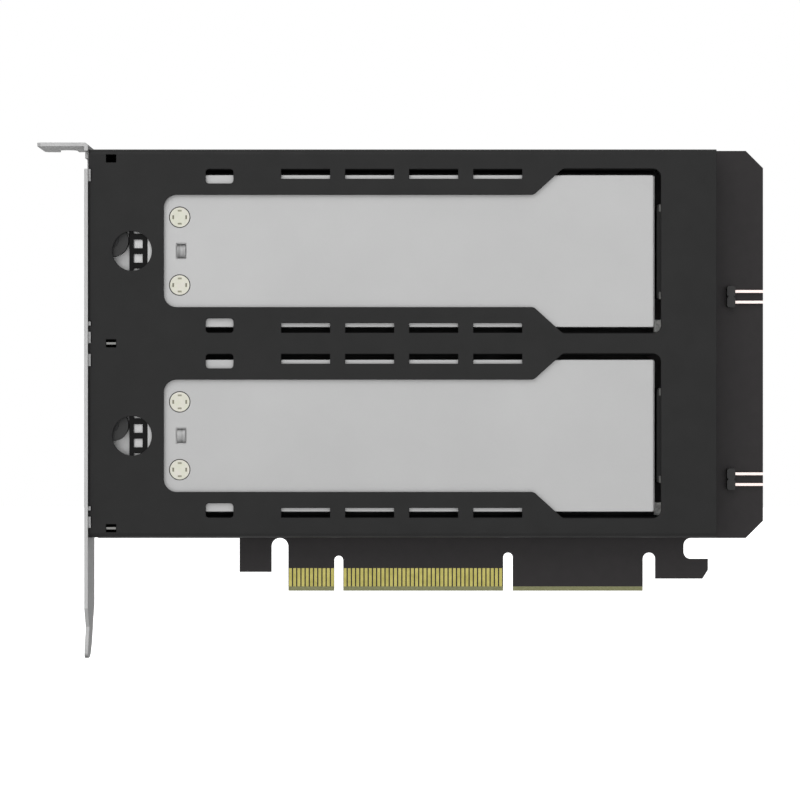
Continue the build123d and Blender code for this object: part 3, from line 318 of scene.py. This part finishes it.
def gold_plating():
    """Slightly clouded gold on the edge contacts."""
    finish = Finish("gold", "a19958", 0.34, metallic=1.0)
    finish.tint(finish.patches(1.6 * mm, detail=4), "979050", "ada562")
    finish.vary_roughness(finish.noise(0.8 * mm), 0.26, 0.42)
    finish.bump(finish.noise(0.12 * mm, stretch=(4, 1, 1)), 0.001 * mm)
    return finish


def pin_metal():
    """Bright, faintly pink plating on the header pins."""
    finish = Finish("pin_plating", "e4d4d0", 0.3, metallic=1.0)
    finish.vary_roughness(finish.noise(0.5 * mm), 0.24, 0.4)
    return finish


def bracket_steel():
    """Plated sheet whose edges facing along Y carry a painted highlight and whose faces carry
    painted shade.
    """
    finish = Finish("bracket_steel", "9a9a9a", 0.5, metallic=0.1, specular=0.05)
    finish.soft_edges(0.12 * mm)
    tone = finish.patches(9 * mm, stretch=(1, 1, 0.3))
    # Painted highlight on the edges that face along Y, painted shade on the faces
    face = finish.mix(tone, "747474", "828282")
    edge = finish.mix(tone, "cacaca", "d4d4d4")
    finish.tint(finish.span(finish.facing("Y"), 0, 1, start=0.5, end=0.8), face, edge)
    brush = finish.noise(0.12 * mm, stretch=(6, 6, 0.05), detail=2)
    finish.vary_roughness(brush, 0.44, 0.56)
    finish.bump(brush, 0.0015 * mm)
    return finish


def black_paint():
    """Fine satin powder coat."""
    finish = Finish("powder_coat", "1e1e1e", 0.5, specular=0.21)
    finish.soft_edges(0.35 * mm)
    finish.bump(finish.noise(0.35 * mm, detail=2), 0.012 * mm, strength=0.6)
    finish.vary_roughness(finish.noise(5 * mm), 0.46, 0.56)
    finish.tint(finish.patches(14 * mm), "1d1d1d", "202020")
    return finish


def black_plastic():
    """Moulded black plastic with a fine spark-eroded grain."""
    finish = Finish("moulded_black", "1c1c1c", 0.45, specular=0.4)
    finish.soft_edges(0.15 * mm)
    finish.bump(finish.noise(0.2 * mm), 0.006 * mm)
    finish.vary_roughness(finish.noise(3 * mm), 0.4, 0.52)
    return finish


def shaded_rail_black():
    """Dry black nylon of the guide rails, its colour darkened below the other black plastic as
    painted shade for their place deep under the housing.
    """
    finish = Finish("shaded_rail_black", "090909", 0.65, specular=0.08)
    finish.bump(finish.noise(0.3 * mm), 0.008 * mm)
    finish.vary_roughness(finish.noise(4 * mm), 0.6, 0.75)
    return finish


def blackened_sheet():
    """The dark steel sheet that runs in the rails."""
    finish = Finish("blackened_sheet", "151515", 0.5, metallic=0.5, specular=0.3)
    finish.soft_edges(0.1 * mm)
    finish.vary_roughness(finish.noise(5 * mm), 0.44, 0.58)
    finish.tint(finish.patches(9 * mm), "121212", "1a1a1a")
    finish.bump(finish.noise(0.25 * mm), 0.002 * mm)
    return finish


def glossy_black():
    """The polished black moulding of a tray's grille."""
    finish = Finish("glossy_black", "0b0b0b", 0.25, specular=0.12)
    finish.soft_edges(0.15 * mm)
    finish.vary_roughness(finish.noise(2 * mm), 0.18, 0.3)
    finish.bump(finish.noise(0.6 * mm), 0.004 * mm)
    return finish


def dull_tin():
    """Matt tin on the sockets' hold-downs, the locating tabs and the solder."""
    finish = Finish("dull_tin", "7a7a78", 0.45, metallic=1.0)
    finish.vary_roughness(finish.noise(0.3 * mm), 0.38, 0.55)
    finish.bump(finish.noise(0.2 * mm), 0.004 * mm)
    return finish


def capacitor_can():
    """A bright can with a dark sector on its end, on a black base."""
    finish = Finish("capacitor_can", "b9bbbc", 0.3, metallic=1.0)
    finish.soft_edges(0.2 * mm)
    can_middle = (can_low.x + can_high.x) / 2
    on_base = finish.calc("GREATER_THAN", finish.axis("Y"), board_front - can_base)
    on_end = finish.calc("LESS_THAN", finish.axis("Y"), can_low.y + can_skin)
    in_sector = finish.calc("GREATER_THAN", finish.axis("X"), can_middle + can_mark)
    dark = finish.calc("MAXIMUM", on_base, finish.calc("MULTIPLY", on_end, in_sector))
    brushed = finish.mix(finish.patches(0.5 * mm), "b0b2b4", "c2c4c5")
    finish.tint(dark, brushed, "141414")
    bare = finish.span(dark, 1.0, 0.0, start=0.0, end=1.0)
    finish.link(bare, finish.shader.inputs["Metallic"])
    return finish


def plain_steel():
    """Bright steel, faintly drawn along its length."""
    finish = Finish("plain_steel", "c9c9c6", 0.3, metallic=1.0)
    finish.vary_roughness(finish.noise(1.2 * mm, stretch=(1, 1, 4)), 0.24, 0.38)
    finish.bump(finish.noise(0.15 * mm, stretch=(1, 1, 8)), 0.001 * mm)
    return finish


def black_screw():
    """Black oxide on the screws that hold rails and bracket."""
    finish = Finish("black_oxide", "2a2a2b", 0.4, metallic=0.6, specular=0.4)
    finish.vary_roughness(finish.noise(0.6 * mm), 0.32, 0.5)
    finish.bump(finish.noise(0.2 * mm), 0.003 * mm)
    return finish


def tray_steel():
    """Brushed steel sheet of a tray."""
    finish = Finish("tray_sheet", "a9a9a9", 0.42, metallic=1.0)
    finish.soft_edges(0.1 * mm)
    finish.tint(finish.patches(7 * mm), "a3a3a3", "afafaf")
    finish.bump(finish.noise(0.15 * mm, stretch=(0.06, 5, 5)), 0.001 * mm)
    return finish


def cover_screw_places():
    """Where the axis of each cream screw meets the plane through the origin."""
    places = []
    for bay in bay_names:
        low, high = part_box(f"{bay}_cover_screws")
        radius = (high.x - low.x) / 2
        places.append((low.x + radius, 0, low.z + radius))
        places.append((low.x + radius, 0, high.z - radius))
    return places


def tray_aluminium():
    """Fine satin anodised sheet, nearly even from a step away, with painted shade in the groove
    round each cream screw.
    """
    finish = Finish("tray_cover_sheet", "a6a6a6", 0.5, metallic=1.0)
    finish.soft_edges(0.12 * mm)
    sheet = finish.mix(finish.patches(25 * mm), "a2a2a2", "a6a6a6")
    # Painted shade in the narrow groove round each cream screw
    round_screw = finish.calc("LESS_THAN", finish.reach(cover_screw_places()), groove_reach)
    groove_shade_mask = finish.calc("GREATER_THAN", finish.axis("Y"), cover_face + groove_depth)
    finish.tint(finish.calc("MULTIPLY", round_screw, groove_shade_mask), sheet, "2c2c2a")
    frost = finish.noise(0.09 * mm, detail=2)
    finish.vary_roughness(frost, 0.46, 0.54)
    finish.bump(frost, 0.0012 * mm)
    return finish


def cream_enamel():
    """Cream paint with painted shade in its marks, darkest in those beside the axis."""
    finish = Finish("cream_enamel", "f6f5e8", 0.38, specular=0.45)
    mottle = finish.mix(finish.patches(1.5 * mm), "f3f4e1", "fbf7ec")
    # Painted shade in the marks, darker in the two beside the axis
    mark_shade_mask = finish.calc("GREATER_THAN", finish.axis("Y"), cover_face + mark_depth)
    aside = finish.calc("SUBTRACT", finish.axis("X"), cover_screw_places()[0][0])
    beside = finish.calc("GREATER_THAN", finish.calc("ABSOLUTE", aside), mark_aside)
    finish.tint(mark_shade_mask, mottle, finish.mix(beside, "c0beaa", "a09e8a"))
    finish.bump(finish.noise(0.3 * mm), 0.004 * mm)
    return finish


def brass_spacer():
    """Brass with fine turning marks."""
    finish = Finish("turned_brass", "c0a060", 0.3, metallic=1.0)
    finish.bump(finish.noise(0.1 * mm, stretch=(1, 8, 1)), 0.002 * mm)
    return finish


def spring_steel():
    """Spring strip with streaks along its length."""
    finish = Finish("spring_steel", "8c8c8c", 0.5, metallic=0.8)
    finish.soft_edges(0.2 * mm)
    drawn = finish.noise(0.9 * mm, stretch=(1, 1, 0.02), detail=2)
    finish.tint(finish.span(drawn, 0, 1), "747474", "a8a8a8")
    finish.vary_roughness(drawn, 0.42, 0.58)
    return finish


def pad_silicone():
    """Soft blue-grey thermal pad."""
    finish = Finish("thermal_pad", "8fa3ad", 0.8, specular=0.3)
    finish.bump(finish.noise(0.3 * mm), 0.02 * mm)
    finish.tint(finish.patches(0.25 * mm), "899da8", "98abb4")
    return finish


def inductor_grey():
    """Pressed iron powder, coarse and speckled."""
    finish = Finish("pressed_iron", "d0d0ce", 0.42, metallic=0.75)
    finish.soft_edges(0.3 * mm)
    finish.tint(finish.patches(0.5 * mm), "b4b4b2", "e4e4e1")
    finish.bump(finish.noise(0.6 * mm, detail=4), 0.12 * mm)
    return finish


def chip_plastic():
    """Dull black chip moulding."""
    finish = Finish("chip_epoxy", "1b1b1c", 0.55, specular=0.35)
    finish.bump(finish.noise(0.1 * mm), 0.004 * mm)
    return finish


def ceramic():
    """Brown ceramic bodies."""
    finish = Finish("ceramic_body", "9a8467", 0.5)
    finish.tint(finish.patches(0.6 * mm), "91795c", "a48f72")
    return finish


# Each of these functions is named after the record's slot that it finishes
slot_finishes = (
    board_laminate,
    gold_plating,
    bracket_steel,
    black_paint,
    black_plastic,
    plain_steel,
    black_screw,
    tray_steel,
    tray_aluminium,
    cream_enamel,
    brass_spacer,
    spring_steel,
    pad_silicone,
    inductor_grey,
    chip_plastic,
    ceramic,
)

# Nodes, by the end of their name, whose finish departs from their slot's
node_finishes = {
    "header_pins": pin_metal,
    # The guide rails get a darker copy of the black plastic as painted shade
    "guide_rail": shaded_rail_black,
    "tray_floor": blackened_sheet,
    "tray_bezel": glossy_black,
    "socket_clips": dull_tin,
    "locating_tabs": dull_tin,
    "bulk_capacitors": capacitor_can,
}


def dress_cad_nodes():
    """Make the materials, and give each solid of the frame its own."""
    materials = {make.__name__: make().material for make in slot_finishes}
    materials.update({ending: make().material for ending, make in node_finishes.items()})
    slots = {row["node"]: row["material_slot"] for row in frame["record"]["subparts"]}
    for name, node in frame["nodes"].items():
        special = [ending for ending in node_finishes if name.endswith(ending)]
        node.material_slots[0].material = materials[special[0] if special else slots[name]]
    return materials


def add_piece(name, mesh_data, material, body="card"):
    """Turn a bmesh into a named piece that rides on a body."""
    mesh = bpy.data.meshes.new(name)
    bmesh.ops.recalc_face_normals(mesh_data, faces=mesh_data.faces)
    mesh_data.to_mesh(mesh)
    mesh_data.free()
    mesh.materials.append(material)
    piece = bpy.data.objects.new(name, mesh)
    bpy.context.scene.collection.objects.link(piece)
    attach(piece, body)
    return piece


def circle_points(radius, height, steps):
    """Points of a circle about the Y axis."""
    angles = [2 * math.pi * step / steps for step in range(steps)]
    return [(radius * math.cos(angle), height, radius * math.sin(angle)) for angle in angles]


def cross_points(arm, half_width, height):
    """The outline of a cross recess."""
    corner = [(arm, -half_width), (arm, half_width), (half_width, half_width)]
    points = []
    for quarter in range(4):
        turn = quarter * math.pi / 2
        cosine, sine = math.cos(turn), math.sin(turn)
        points += [(x * cosine - z * sine, height, x * sine + z * cosine) for x, z in corner]
    return points


def pairs(ring):
    """Each item of a closed ring with the one after it."""
    return zip(ring, ring[1:] + ring[:1])


def add_ring(mesh_data, points, place, before=None, smooth=True):
    """Add a closed ring of points at a place, and join it to the ring before it."""
    ring = [mesh_data.verts.new((place[0] + x, place[1] + y, place[2] + z)) for x, y, z in points]
    if before:
        for (low, low_after), (high, high_after) in zip(pairs(before), pairs(ring)):
            face = mesh_data.faces.new((low, low_after, high_after, high))
            face.smooth = smooth
    return ring


def add_tip(mesh_data, place, height):
    """A point on the axis through a place."""
    return mesh_data.verts.new((place[0], place[1] + height, place[2]))


def close_ring(mesh_data, ring, tip, smooth=False):
    """Join a ring to a point on its axis."""
    for vertex, after in pairs(ring):
        face = mesh_data.faces.new((vertex, after, tip))
        face.smooth = smooth


def turn_open(mesh_data, profile, place, steps):
    """Turn a profile that starts on the axis, and return the open ring at its end."""
    tip = add_tip(mesh_data, place, profile[0][1])
    ring = add_ring(mesh_data, circle_points(*profile[1], steps), place)
    close_ring(mesh_data, ring, tip)
    for radius, height in profile[2:]:
        ring = add_ring(mesh_data, circle_points(radius, height, steps), place, ring)
    return ring


def turn_closed(mesh_data, profile, place, steps):
    """Turn a profile that starts and ends on the axis."""
    ring = turn_open(mesh_data, profile[:-1], place, steps)
    tip = add_tip(mesh_data, place, profile[-1][1])
    close_ring(mesh_data, ring, tip, smooth=True)


def add_screw(mesh_data, place, side, head_height, length):
    """A cheese-head screw with a cross recess; its seat is at the place, its head on the side."""
    top = head_height * side
    step_in = head_rounding * rounding_middle
    profile = [
        (0, -length * side),
        (screw_shank - shank_chamfer, -length * side),
        (screw_shank, (shank_chamfer - length) * side),
        (screw_shank, 0),
        (screw_head, 0),
        (screw_head, top - head_rounding * side),
        (screw_head - step_in, top - step_in * side),
        (screw_head - head_rounding, top),
    ]
    rim = turn_open(mesh_data, profile, place, screw_steps)
    mouth = add_ring(mesh_data, cross_points(recess_arm, recess_half_width, top), place)
    border = []
    for ring in (rim, mouth):
        border += [mesh_data.edges.get(pair) or mesh_data.edges.new(pair) for pair in pairs(ring)]
    bmesh.ops.triangle_fill(mesh_data, use_beauty=True, edges=border)
    bottom = top - recess_depth * side
    low_points = cross_points(recess_floor_arm, recess_floor_half_width, bottom)
    low = add_ring(mesh_data, low_points, place, mouth, smooth=False)
    close_ring(mesh_data, low, add_tip(mesh_data, place, bottom - recess_point * side))


def spread(start, end, inset, count):
    """Places at even steps from start to end, the first and last set in by the inset."""
    if count == 1:
        return [(start + end) / 2]
    room = end - start - 2 * inset
    return [start + inset + room * k / (count - 1) for k in range(count)]


def screw_grid(name, columns, rows):
    """Centres of the screws in a node, spread evenly between the ends of its box."""
    low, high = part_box(name)
    across = spread(low.x, high.x, screw_head, columns)
    up = spread(low.z, high.z, screw_head, rows)
    return [(x, z) for x in across for z in up]


def add_screws(materials):
    """Cross-recessed screws in the places of the plain ones."""
    sets = [
        ("rail_screws", 2, 3, 1, "card", "black_screw"),
        ("bracket_screws", 1, 2, 1, "card", "black_screw"),
        ("upper_drive_screw", 1, 1, -1, "upper_tray", "plain_steel"),
        ("lower_drive_screw", 1, 1, -1, "lower_tray", "plain_steel"),
    ]
    for node, columns, rows, side, body, slot in sets:
        low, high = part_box(node)
        head_height = drive_head_height if "drive" in node else screw_head_height
        seat = high.y - head_height if side > 0 else low.y + head_height
        length = seat - low.y if side > 0 else high.y - seat
        mesh_data = bmesh.new()
        for x, z in screw_grid(node, columns, rows):
            add_screw(mesh_data, (x, seat, z), side, head_height, length)
        piece = add_piece(f"{node}_recessed", mesh_data, materials[slot], body)
        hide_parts(node)


def add_solder(materials):
    """Solder cones round the legs of the light headers, on the solder side."""
    mesh_data = bmesh.new()
    for bay in bay_names:
        low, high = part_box(f"{bay}_header_pins")
        for z in (low.z + pin_size / 2, high.z - pin_size / 2):
            place = (low.x + pin_size / 2, board_back, z)
            turn_closed(mesh_data, solder_profile, place, solder_steps)
    add_piece("header_solder", mesh_data, materials["socket_clips"])


def offset_path(points, distance):
    """A path beside a path of straight runs, its corners mitred."""
    path = []
    for index, point in enumerate(points):
        before = Vector(points[max(index - 1, 0)])
        after = Vector(points[min(index + 1, len(points) - 1)])
        here = Vector(point)
        runs = [run.normalized() for run in (here - before, after - here) if run.length > 0]
        normals = [Vector((-run.y, run.x)) for run in runs]
        mitre = sum(normals, Vector((0, 0))).normalized()
        path.append(here + mitre * distance / mitre.dot(normals[0]))
    return path


def add_track(mesh_data, points, offset):
    """A low ridge over a copper track, beside the given path on the solder side."""
    section = [
        (-track_width, 0),
        (-track_width / 2, track_height),
        (track_width / 2, track_height),
        (track_width, 0),
    ]
    rows = []
    for side, height in section:
        path = offset_path(points, offset + side)
        rows.append([mesh_data.verts.new((x, board_back + height, z)) for x, z in path])
    for low, high in zip(rows, rows[1:]):
        for k in range(len(points) - 1):
            mesh_data.faces.new((low[k], low[k + 1], high[k + 1], high[k]))
    for end in (0, -1):
        mesh_data.faces.new([row[end] for row in rows])


def add_tracks(materials):
    """Pairs of tracks from the edge contacts to each drive socket, with a via at their end."""
    contacts_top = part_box("edge_contacts_back")[1].z
    mesh_data = bmesh.new()
    for bay, first in zip(bay_names, first_lanes):
        low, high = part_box(f"{bay}_drive_socket")
        for lane in range(lane_count):
            x = first + lane * lane_pitch
            z = (low.z + high.z) / 2 - (lane - (lane_count - 1) / 2) * lane_pitch
            points = [
                (x, contacts_top + contact_gap),
                (x, z - track_turn),
                (x + track_turn, z),
                (low.x - socket_gap, z),
            ]
            for offset in (-pair_gap / 2, pair_gap / 2):
                add_track(mesh_data, points, offset)
                end = offset_path(points, offset)[-1]
                place = (end.x + via_ahead, board_back, end.y)
                turn_closed(mesh_data, via_profile, place, via_steps)
    add_piece("board_tracks", mesh_data, materials["board_laminate"])


def via_row(start, end):
    """Places of a row of vias between two corners."""
    count = round((end - start - 2 * corner_room) / via_pitch) + 1
    return spread(start, end, corner_room, count)


def add_vias(materials):
    """Covered through-holes in rows along the upper, lower and far edges, clear of the screws."""
    low_row = housing_low.z + via_inset
    high_row = board_high.z - via_inset
    left = board_low.x + via_inset
    right = board_high.x - via_inset
    places = [(x, z) for z in (low_row, high_row) for x in via_row(left, right)]
    places += [(right, z) for z in via_row(low_row, high_row)]
    screws = screw_grid("rail_screws", 2, 3) + screw_grid("bracket_screws", 1, 2)
    mesh_data = bmesh.new()
    for x, z in places:
        nearest = min(math.hypot(x - screw_x, z - screw_z) for screw_x, screw_z in screws)
        if nearest > screw_head + screw_room:
            turn_closed(mesh_data, via_profile, (x, board_back, z), via_steps)
    add_piece("board_vias", mesh_data, materials["board_laminate"])


def add_lights():
    """A broad lamp high in front, a weaker one low at the right, and one behind at the left."""
    for name, (place, size, power) in lamps.items():
        data = bpy.data.lights.new(name, "AREA")
        data.shape = "SQUARE"
        data.size = size
        data.energy = power
        lamp = bpy.data.objects.new(name, data)
        lamp.location = place
        aim = Vector(lamp_target) - Vector(place)
        lamp.rotation_euler = aim.to_track_quat("-Z", "Y").to_euler()
        bpy.context.scene.collection.objects.link(lamp)


def seen_rays(tree):
    """1 for the rays that show the background: to the camera, off metal and through glass."""
    path = tree.nodes.new("ShaderNodeLightPath")
    seen = path.outputs["Is Camera Ray"]
    for ray in ("Is Glossy Ray", "Is Transmission Ray"):
        either = tree.nodes.new("ShaderNodeMath")
        either.operation = "MAXIMUM"
        tree.links.new(seen, either.inputs[0])
        tree.links.new(path.outputs[ray], either.inputs[1])
        seen = either.outputs["Value"]
    return seen


def add_world():
    """White where the camera, metal and glass see it, and a soft even light elsewhere."""
    world = bpy.data.worlds.new("studio")
    bpy.context.scene.world = world
    world.use_nodes = True
    tree = world.node_tree
    background = tree.nodes["Background"]
    background.inputs["Color"].default_value = (1, 1, 1, 1)
    strength = tree.nodes.new("ShaderNodeMapRange")
    strength.inputs["To Min"].default_value = even_light
    strength.inputs["To Max"].default_value = 1.0
    tree.links.new(seen_rays(tree), strength.inputs["Value"])
    tree.links.new(strength.outputs["Result"], background.inputs["Strength"])


def add_floor():
    """A plain white floor that keeps the object's shadow."""
    mesh = bpy.data.meshes.new("floor")
    half = floor_size / 2
    height = cad_bounds[0].z - floor_drop
    corners = [(-half, -half), (half, -half), (half, half), (-half, half)]
    mesh.from_pydata([(x, y, height) for x, y in corners], [], [(0, 1, 2, 3)])
    floor = bpy.data.objects.new("floor", mesh)
    bpy.context.scene.collection.objects.link(floor)
    finish = Finish("floor_white", "f2f2f2", 0.9, specular=0.0)
    finish.set("Emission Color", (1, 1, 1, 1))
    across = finish.calc("POWER", finish.axis("X"), 2.0)
    along = finish.calc("POWER", finish.axis("Y"), 2.0)
    distance = finish.calc("SQRT", finish.calc("ADD", across, along))
    around = finish.span(distance, near_lift, 1.0, start=fade_start, end=fade_end)
    behind = finish.span(finish.axis("Y"), near_lift, 1.0, start=shadow_reach, end=white_reach)
    lift = finish.calc("MAXIMUM", around, behind)
    lift = finish.calc("MULTIPLY", lift, seen_rays(finish.tree))
    finish.link(lift, finish.shader.inputs["Emission Strength"])
    mesh.materials.append(finish.material)


def add_camera():
    """The photograph's view."""
    data = bpy.data.cameras.new("camera")
    data.lens = camera_lens
    data.sensor_width = 36.0
    data.clip_start = 0.01
    data.clip_end = 50.0
    camera = bpy.data.objects.new("camera", data)
    camera.location = (camera_x, -camera_distance, camera_z)
    camera.rotation_euler = (math.pi / 2, 0, 0)
    bpy.context.scene.collection.objects.link(camera)
    bpy.context.scene.camera = camera


add_camera()
materials = dress_cad_nodes()
add_screws(materials)
add_solder(materials)
add_tracks(materials)
add_vias(materials)
add_lights()
add_world()
add_floor()
bpy.context.scene.view_settings.view_transform = "Standard"
